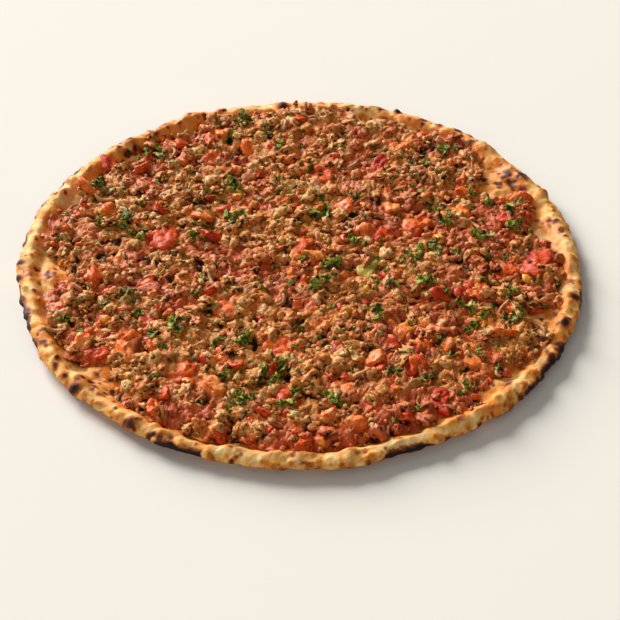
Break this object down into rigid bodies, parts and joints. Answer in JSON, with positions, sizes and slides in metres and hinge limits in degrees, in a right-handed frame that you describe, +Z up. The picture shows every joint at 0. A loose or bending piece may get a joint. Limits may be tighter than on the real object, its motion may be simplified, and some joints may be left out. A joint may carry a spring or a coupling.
{
  "type": "lahmacun",
  "caption": "Round thin flatbread with a blistered rim, baked under spiced mince with soft pieces of tomato, pepper and onion, and chopped parsley.",
  "frame": {"origin": "middle of the outline on the surface that the bread rests on", "axes": "+Z up through the bread's thickness, +X to the right and +Y away from the eater"},
  "size_m": [0.2802, 0.2762, 0.0112],
  "materials": {
    "dough": "baked dough: cream to golden brown, with orange oily blisters and dark scorched spots",
    "mince": "cooked mince: moist tan and red-brown crumbs",
    "tomato": "wet soft tomato, orange-red to pink",
    "pepper": "wet soft pepper, red and orange",
    "onion": "wet translucent cooked onion",
    "parsley": "wilted chopped parsley, dark to mid green",
    "paste": "thin red tomato paste and juice between the crumbs"
  },
  "bodies": {
    "root": {"dough_base": "dough", "mince_layer": "mince", "onion_01": "onion", "onion_02": "onion", "pepper_01": "pepper", "pepper_02": "pepper", "pepper_03": "pepper", "pepper_04": "pepper", "pepper_05": "pepper", "pepper_06": "pepper", "pepper_07": "pepper", "pepper_08": "pepper", "pepper_09": "pepper", "pepper_10": "pepper", "pepper_11": "pepper", "tomato_01": "tomato", "tomato_02": "tomato", "tomato_03": "tomato", "tomato_04": "tomato", "tomato_05": "tomato", "tomato_06": "tomato", "tomato_07": "tomato", "tomato_08": "tomato", "tomato_09": "tomato", "tomato_10": "tomato", "tomato_11": "tomato", "tomato_12": "tomato", "tomato_13": "tomato", "tomato_14": "tomato", "tomato_15": "tomato", "tomato_16": "tomato", "tomato_17": "tomato", "tomato_18": "tomato", "tomato_19": "tomato", "tomato_20": "tomato", "tomato_21": "tomato", "tomato_22": "tomato", "tomato_23": "tomato", "tomato_24": "tomato", "tomato_25": "tomato", "tomato_26": "tomato", "tomato_27": "tomato", "tomato_28": "tomato", "tomato_29": "tomato", "tomato_30": "tomato"}
  },
  "joints": []
}
